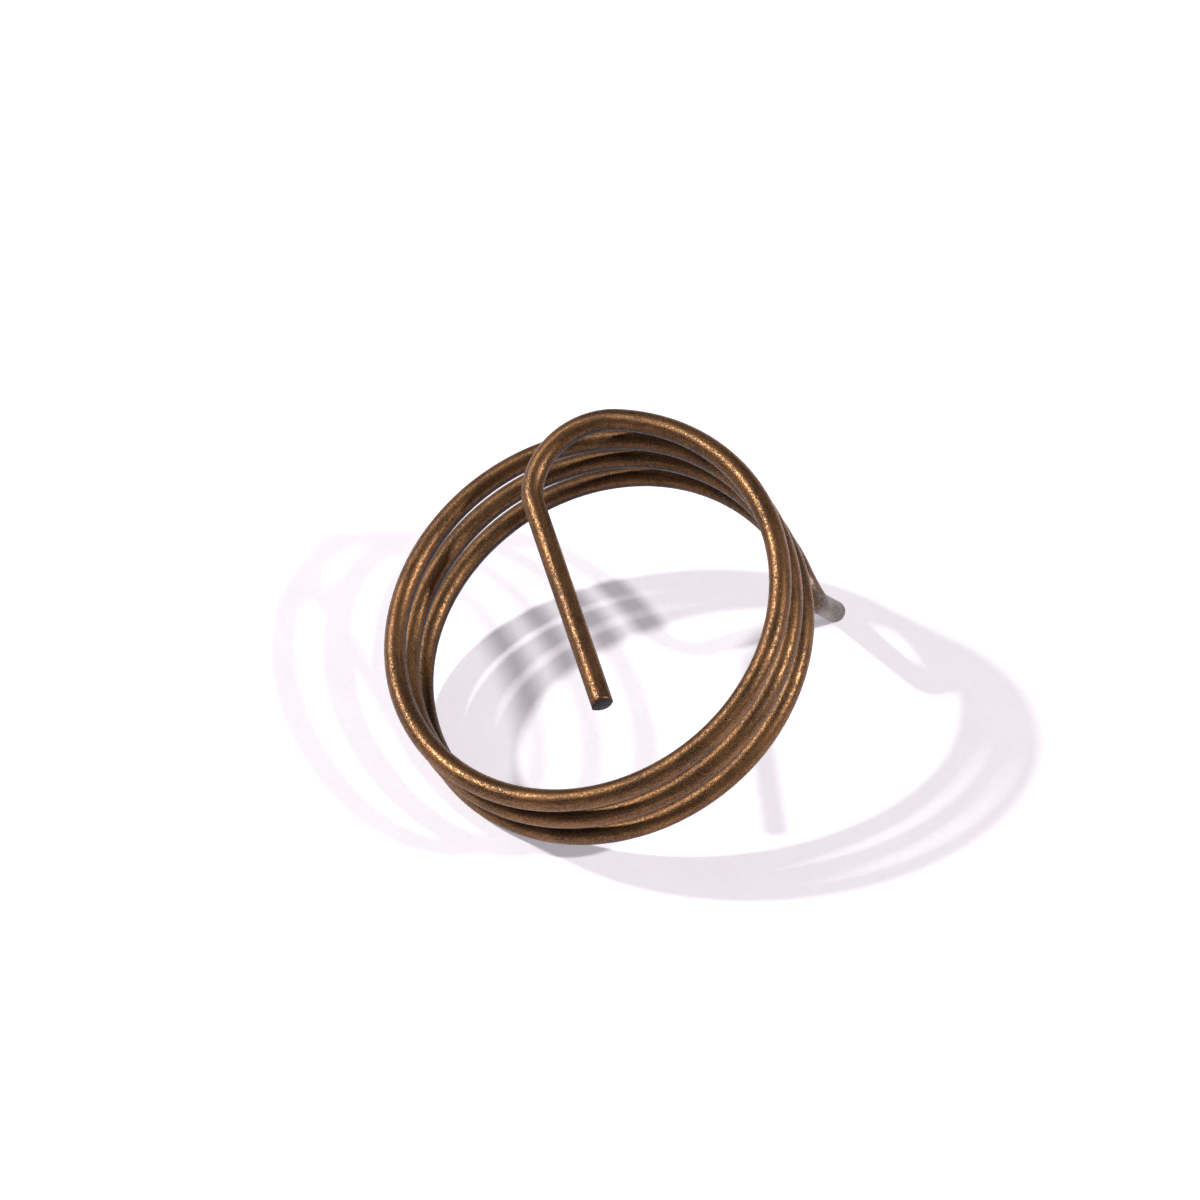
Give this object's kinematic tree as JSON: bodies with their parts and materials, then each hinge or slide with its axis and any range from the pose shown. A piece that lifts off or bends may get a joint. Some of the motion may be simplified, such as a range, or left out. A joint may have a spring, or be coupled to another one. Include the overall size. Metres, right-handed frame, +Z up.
{
  "type": "coil spring with bent legs",
  "caption": "Open coil spring of round heat-tinted wire, one end bent in as a straight leg across the mouth, the other bent down as a short tail.",
  "frame": {"origin": "centre of the bounding box, on the floor it lies on", "axes": "+Z up from the floor; +X along its longest extent, with the tail at the +X side; the coil's axis leans 22 degrees from +Z, towards -X and -Y"},
  "size_m": [0.0222, 0.0208, 0.0126],
  "materials": {
    "tinted_wire": "heat-tinted bronze-brown oxide on drawn wire, satin, worn to grey at the tail"
  },
  "bodies": {
    "root": {"spring": "tinted_wire"}
  },
  "joints": []
}
